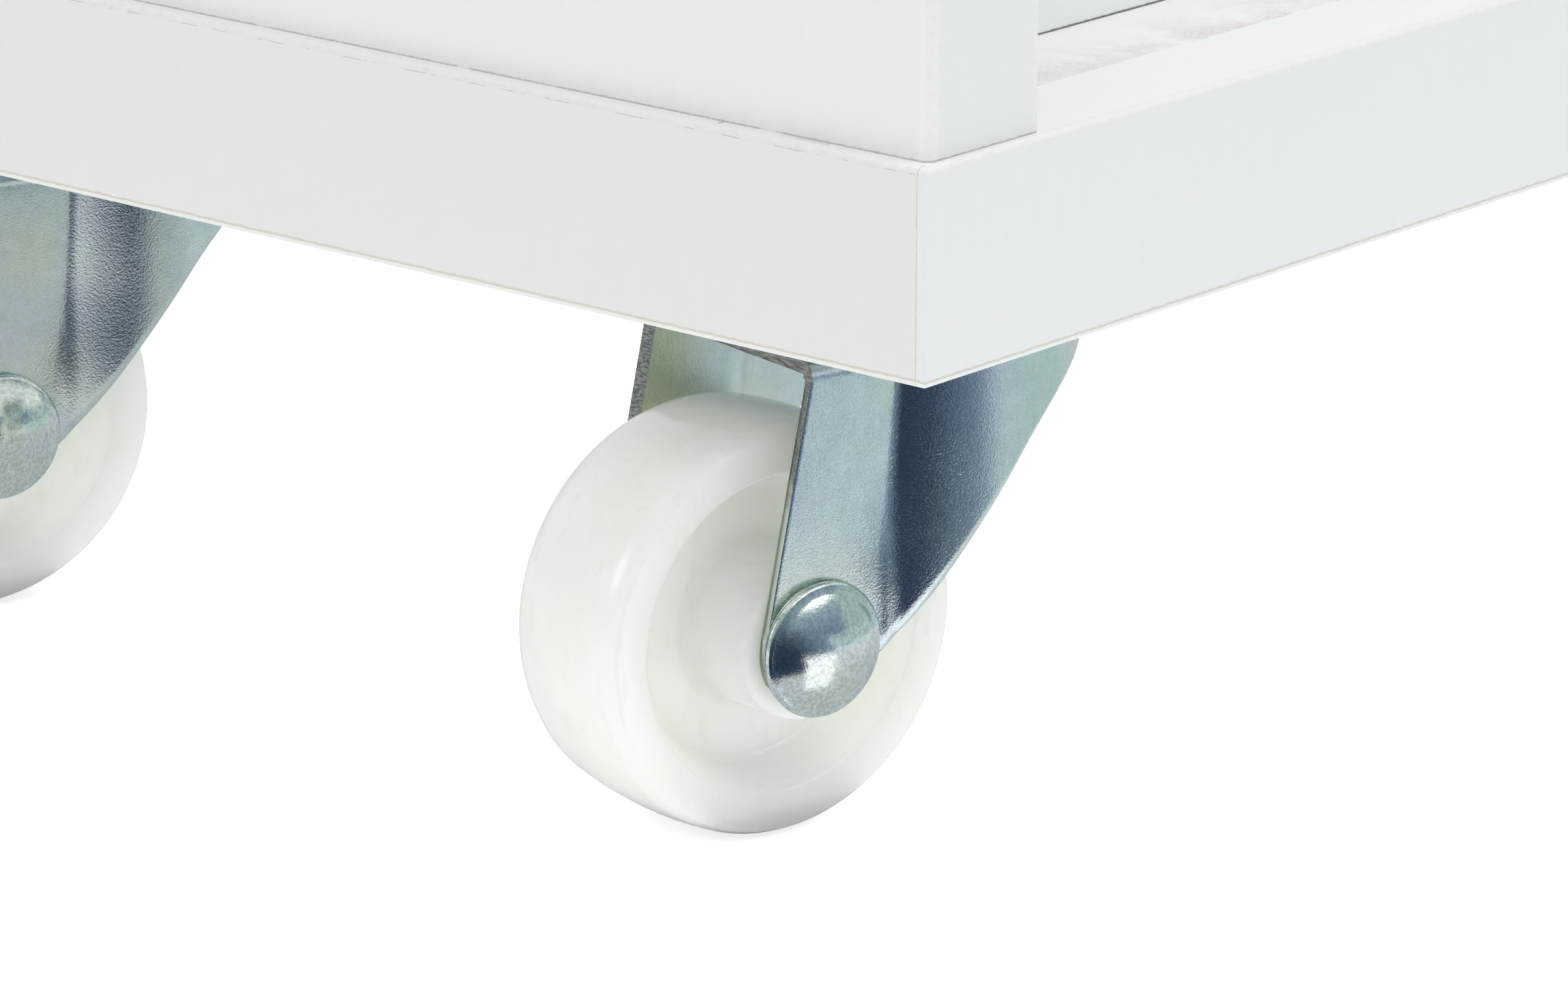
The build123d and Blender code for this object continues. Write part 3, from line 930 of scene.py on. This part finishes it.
wheelForm = {
    "radius": 25.0,
    "sag": 1.25,
    "half": 9.9,
    "shoulderRun": 1.6,
    "shoulderRise": 0.55,
    "shoulderRound": 0.85,
    "recess": 19.2,
    "recessFloor": 16.8,
    "rimEdge": 0.7,
    "rimDraft": 0.15,
    "web": 3.0,
    "webFillet": 1.6,
    "hub": 9.2,
    "hubDraft": 0.25,
    "hubEnd": 14.4,
    "hubEdge": 0.5,
    "bore": 3.05,
    "boreEdge": 0.4,
    "segments": 160,
}


def wheelSection(form):
    # from the bore over the hub end, web, recess wall, rim and shoulder to the tread, a flat parabola, then
    # mirrored; each point is (distance along the axle, radius)
    crown = form["radius"] - form["sag"]
    half = form["half"]
    corner = [
        (0, form["bore"]),
        (form["hubEnd"], form["bore"]),
        (form["hubEnd"], form["hub"]),
        (form["web"], form["hub"] + form["hubDraft"]),
        (form["web"], form["recessFloor"]),
        (half - form["rimDraft"], form["recess"]),
        (half, crown),
        (half - form["shoulderRun"], crown + form["sag"] * form["shoulderRise"]),
    ]
    rounds = ("boreEdge", "hubEdge", "webFillet", "webFillet", "rimEdge", "shoulderRound")
    edge = roundedPath(corner, [form[word] for word in rounds])
    across = np.linspace(edge[-1, 0], 0, 8)[1:]
    slope = (form["radius"] - edge[-1, 1]) / edge[-1, 0] ** 2
    tread = np.stack((across, form["radius"] - slope * across ** 2), axis=1)
    side = np.concatenate((edge, tread))
    return np.concatenate((side, side[-2::-1] * (-1, 1)))


def buildWheel(caster, finish):
    section = wheelSection(wheelForm)[::-1] * mm
    points, faces = turned(section, wheelForm["segments"], caster.hub, caster.axes[1])
    name = caster.corner + "_wheel"
    piece = makePiece(name + "_moulding", points, faces, [finish], caster.corner + "_roller", name)


# Axle: shank with a ring and a domed cap outside each leg

capForm = {
    "shank": 3.0,
    "shankEdge": 0.15,
    "ring": 0.35,
    "ringRadius": 7.9,
    "ringEdge": 0.25,
    "groove": 0.3,
    "grooveBelow": 0.05,
    "grooveAbove": 0.1,
    "radius": 8.1,
    "rimHeight": 0.75,
    "rimLow": 0.3,
    "rimRound": 0.7,
    "dome": 2.55,
    "domeRadius": 7.65,
    "segments": 96,
}


def capSection(form, legFace):
    # from the shank over the ring, a fine groove and the cap's rolled rim, then over the dome to its pole;
    # the dome is part of a ball whose radius is (domeRadius squared + dome squared) / (2 * dome)
    ring = legFace + form["ring"]
    grooveFrom, grooveTo = ring - form["grooveBelow"], ring + form["grooveAbove"]
    grooveRadius = form["ringRadius"] - form["groove"]
    rim = ring + form["rimHeight"]
    ball = (form["domeRadius"] ** 2 + form["dome"] ** 2) / (2 * form["dome"])
    lean = np.linspace(np.arcsin(form["domeRadius"] / ball), 0, 22)
    dome = np.stack((rim - (ball - form["dome"]) + ball * np.cos(lean), ball * np.sin(lean)), axis=1)
    corner = [
        (0, form["shank"]),
        (legFace, form["shank"]),
        (legFace, form["ringRadius"]),
        (grooveFrom, form["ringRadius"]),
        (grooveFrom, grooveRadius),
        (grooveTo, grooveRadius),
        (grooveTo, form["radius"]),
        (grooveTo + form["rimHeight"], form["radius"]),
        tuple(dome[2]),
    ]
    radii = [0, form["shankEdge"], form["ringEdge"], 0, 0, form["rimLow"], form["rimRound"]]
    return np.concatenate((roundedPath(corner, radii), dome[3:]))


def buildAxle(caster, finish):
    half = capSection(capForm, forkForm["width"] / 2)
    section = np.concatenate((half[::-1] * (-1, 1), half[1:])) * mm
    section[[0, -1], 1] = 0.001 * mm  # a pole of no width, which merges to one point
    points, faces = turned(section, capForm["segments"], caster.hub, caster.axes[1])
    name = caster.corner + "_axle"
    piece = makePiece(name + "_rivet", points, faces, [finish], caster.corner + "_swivel", name)


print("finishes: cabinet")
finishCabinet()

print("finishes and forms: casters")
capZinc = zincFinish("capZinc", zincLook["capRoughness"], zincLook["capPeel"], zincLook["capMottle"])
plateZinc = zincFinish("plateZinc", zincLook["plateRoughness"])
forkZinc = zincFinish("forkZinc", zincLook["roughness"])
for corner in corners:
    caster = Caster(corner)
    insideZinc = zincFinish(corner + "_insideZinc", zincLook["insideRoughness"], insideOf=caster)
    buildFork(caster, forkZinc, shearFinish(caster), insideZinc)
    buildWheel(caster, nylonFinish(caster))
    buildAxle(caster, capZinc)
for name in ("caster_plates", "race_rings", "kingpins"):
    nodes[name].data.materials[0] = plateZinc

print("finishes: fittings")
fastener = steelFinish("fastenerSteel")
for name in ("caster_screws", "confirmat_screws", "handle_screws", "shelf_pins"):
    nodes[name].data.materials[0] = fastener
rodSteel = steelFinish("rodSteel")
for name in ("bottom_guard_rod", "lower_guard_rod", "upper_guard_rod"):
    nodes[name].data.materials[0] = rodSteel
nodes["handle"].data.materials[0] = steelFinish("handleSteel")
nodes["top_dowels"].data.materials[0] = beechFinish()


# Stage, light and camera

stageLook = {
    "floor": rgb(226, 227, 228),
    "floorPale": rgb(240, 240, 240),
    "floorReach": 12.0,
    "floorCloud": 400.0,
    "floorLift": 0.7,
    "mirrorLift": 0.03,
    "ambient": 0.62,
    "background": 1.0,
}

# what the metal mirrors; turns and climbs are directions from the near caster, in degrees
mirrorLook = {
    "room": rgb(184, 200, 200),
    "dark": rgb(47, 62, 84),
    "dusk": rgb(126, 143, 163),
    "haze": rgb(154, 172, 188),
    "pale": rgb(222, 230, 236),
    "teal": rgb(200, 216, 213),
    "softbox": (2.3, 2.36, 2.4, 1.0),
    "sheet": (1.35, 1.35, 1.35, 1.0),
    "darkTurn": (-88.0, -80.0, 28.0, 36.0),
    "darkClimb": (25.0, 31.0),
    "duskTurn": (-38.0, 4.0),
    "paleTurn": (3.5, 9.5),
    "tealTurn": (14.5, 22.0),
    "hazeClimb": (0.0, 24.0),
    "softboxTurn": (-23.0, -15.0, 28.0, 42.0),
    "softboxClimb": (29.0, 34.0, 58.0, 63.0),
    "cardFrom": -80.0,
    "cardTo": 78.0,
    "cardStep": -32.0,
    "cardNear": 0.063,
    "cardFar": 0.112,
    "cardReach": 6.0,
    "cardLift": 0.001,
    "sheetLift": 0.0015,
    "sheetCorners": ((0.029, -0.034), (0.098, -0.052), (0.110, 0.008), (0.032, -0.019)),
}

# places and sizes in metres; mirrored says whether the metal shows the lamp
lampPlan = {
    "leftPanel": {
        "place": (-1.5, -1.9, 1.0), "aim": (0, -0.1, 0.1), "size": (0.8, 0.8),
        "watts": 4.2, "colour": (1.0, 0.99, 0.975), "mirrored": True,
    },
    "rightPanel": {
        "place": (1.6, 0.1, 1.7), "aim": (0.08, -0.18, 0.05), "size": (1.9, 1.0),
        "watts": 5.2, "colour": (0.97, 0.985, 1.0), "mirrored": False,
    },
    "topPanel": {
        "place": (0.6, 0.0, 6.0), "aim": (0, 0, 0.3), "size": (3.6, 3.6),
        "watts": 142.0, "colour": (1.0, 1.0, 1.0), "mirrored": False,
    },
    "lowFill": {
        "place": (1.3, -1.8, 0.35), "aim": (0.05, -0.15, 0.05), "size": (1.0, 0.8),
        "watts": 2.0, "colour": (1.0, 0.995, 0.985), "mirrored": False,
    },
    "floorGlow": {
        "place": (0.0, -0.1, 0.003), "aim": (0.0, -0.1, 1.0), "size": (0.5, 0.7),
        "watts": 0.5, "colour": (1.0, 1.0, 0.99), "mirrored": False,
    },
}

cameraPlan = {
    "fromCorner": (0.4579, -0.5678),
    "height": 0.2788,
    "yaw": radians(40.05),
    "pitch": radians(-16.687),
    "roll": radians(0.245),
    "lens": 165.2,
    "sensor": 36.0,
    "nearest": 0.01,
    "farthest": 50.0,
}


def stagePiece(name, points, faces, finish):
    # a flat stage object
    mesh = bpy.data.meshes.new(name)
    mesh.from_pydata(points, [], faces)
    mesh.materials.append(finish)
    piece = bpy.data.objects.new(name, mesh)
    bpy.context.scene.collection.objects.link(piece)
    return piece


def buildFloor():
    # pale floor that lifts itself towards white for the camera and for reflections, and keeps the shadow
    finish, start, place = newFinish("paleFloor")
    tone = place.noise(stageLook["floorCloud"]).blend(stageLook["floor"], stageLook["floorPale"])
    matte = start.node("BsdfDiffuse", {}, {"Color": tone})
    rays = start.node("LightPath")
    seen = rays.other("Is Camera Ray") + rays.other("Is Transmission Ray")
    mirrored = rays.other("Is Glossy Ray") * stageLook["mirrorLift"]
    lifted = seen.math("MINIMUM", seen, 1.0) * stageLook["floorLift"] + mirrored
    lift = start.node("Emission", {}, {"Color": (1.0, 1.0, 1.0, 1.0), "Strength": lifted})
    start.node("OutputMaterial", {}, {"Surface": start.node("AddShader", {}, {0: matte, 1: lift})})
    reach = stageLook["floorReach"]
    points = [(-reach, -reach, 0), (reach, -reach, 0), (reach, reach, 0), (-reach, reach, 0)]
    stagePiece("floor", points, [(0, 1, 2, 3)], finish)


def heading(x, y):
    # direction of (x, y) round the vertical axis, in degrees
    return x.math("ARCTAN2", y, x) * (180 / pi)


def darkness(turn):
    # the dark end of the room, paler towards the right
    return turn.ramp(*mirrorLook["duskTurn"]).blend(mirrorLook["dark"], mirrorLook["dusk"])


def mirrorCard(name, points, faces, tone):
    # a card that lies on the floor and is seen in the metal only; points are offsets from the near swivel
    swivel = joints["front_right_swivel_turn"]["pos_m"]
    finish, start, place = newFinish(name)
    x, y = place.split()[:2]
    turn = heading(x - swivel[0] / mm, y - swivel[1] / mm)
    shine = start.node("Emission", {}, {"Color": tone(turn), "Strength": 1.0})
    start.node("OutputMaterial", {}, {"Surface": shine})
    places = points + np.array((swivel[0], swivel[1], 0))
    card = stagePiece(name, places.tolist(), faces, finish)
    card.visible_camera = card.visible_diffuse = False
    card.visible_shadow = card.visible_transmission = False


def cardTone(turn):
    # dark floor that turns pale and then teal towards its right end
    paler = turn.ramp(*mirrorLook["paleTurn"]).blend(darkness(turn), mirrorLook["pale"])
    return turn.ramp(*mirrorLook["tealTurn"]).blend(paler, mirrorLook["teal"])


def buildCards():
    # dark floor in front of the near caster, a fan between an inner and an outer radius, and a white sheet
    # on it close to the wheel
    look = mirrorLook
    turns = np.linspace(look["cardFrom"], look["cardTo"], 159)
    inner = np.where(turns < look["cardStep"], look["cardNear"], look["cardFar"])
    reach = np.stack((inner, np.full_like(inner, look["cardReach"])))
    x, y = reach * np.cos(np.radians(turns)), reach * np.sin(np.radians(turns))
    points = np.stack((x, y, np.full_like(reach, look["cardLift"])), axis=-1)
    mirrorCard("darkCard", points.reshape(-1, 3), gridFaces(2, len(turns)).tolist(), cardTone)
    sheet = np.array([(*corner, look["sheetLift"]) for corner in look["sheetCorners"]])
    mirrorCard("whiteSheet", sheet, [(0, 1, 2, 3)], lambda turn: look["sheet"])


def mirroredRoom(start):
    # what the metal sees beyond the floor: a pale room, a dark end before the cart and a soft box above it
    look = mirrorLook
    x, y, z = start.node("TexCoord", output="Generated").split()
    turn = heading(x, y)
    climb = z.math("ARCSINE", z) * (180 / pi)
    patch = turn.between(*look["darkTurn"]) * climb.ramp(*look["darkClimb"], 1.0, 0.0)
    dark = climb.ramp(*look["hazeClimb"]).blend(darkness(turn), look["haze"])
    softbox = turn.between(*look["softboxTurn"]) * climb.between(*look["softboxClimb"])
    return softbox.blend(patch.blend(look["room"], dark), look["softbox"])


def buildWorld():
    # white to the camera, a soft even light on the cart, and a room of its own in the metal
    world = bpy.data.worlds.new("studio")
    bpy.context.scene.world = world
    world.use_nodes = True
    world.node_tree.nodes.clear()
    start = Signal(world.node_tree)
    white = (1.0, 1.0, 1.0, 1.0)
    rays = start.node("LightPath")
    mirror = start.node("Background", {}, {"Color": mirroredRoom(start), "Strength": 1.0})
    soft = start.node("Background", {}, {"Color": white, "Strength": stageLook["ambient"]})
    plain = start.node("Background", {}, {"Color": white, "Strength": stageLook["background"]})
    glossy = start.node("MixShader", {}, {0: rays.other("Is Glossy Ray"), 1: soft, 2: mirror})
    clear = rays.other("Is Camera Ray") + rays.other("Is Transmission Ray")
    start.node("OutputWorld", {}, {"Surface": start.node("MixShader", {}, {0: clear, 1: glossy, 2: plain})})


def buildLamps():
    for name, plan in lampPlan.items():
        lamp = bpy.data.lights.new(name, "AREA")
        lamp.shape = "RECTANGLE"
        lamp.size, lamp.size_y = plan["size"]
        lamp.energy = plan["watts"]
        lamp.color = plan["colour"]
        holder = bpy.data.objects.new(name, lamp)
        holder.location = plan["place"]
        aim = Vector(plan["aim"]) - Vector(plan["place"])
        holder.rotation_euler = aim.to_track_quat("-Z", "Y").to_euler()
        holder.visible_glossy = plan["mirrored"]
        holder.visible_camera = False
        bpy.context.scene.collection.objects.link(holder)


def buildCamera():
    camera = bpy.data.cameras.new("photoView")
    camera.lens = cameraPlan["lens"]
    camera.sensor_width = cameraPlan["sensor"]
    camera.clip_start, camera.clip_end = cameraPlan["nearest"], cameraPlan["farthest"]
    holder = bpy.data.objects.new("photoView", camera)
    turn = Matrix.Rotation(cameraPlan["yaw"], 3, "Z")
    turn = turn @ Matrix.Rotation(radians(90) + cameraPlan["pitch"], 3, "X")
    turn = turn @ Matrix.Rotation(cameraPlan["roll"], 3, "Z")
    holder.rotation_euler = turn.to_euler()
    right, back = cameraPlan["fromCorner"]
    holder.location = (boardCorner[0] + right, boardCorner[1] + back, cameraPlan["height"])
    bpy.context.scene.collection.objects.link(holder)
    bpy.context.scene.camera = holder


print("stage, light and camera")
buildFloor()
buildCards()
buildWorld()
buildLamps()
buildCamera()
bpy.context.scene.view_settings.view_transform = "Standard"
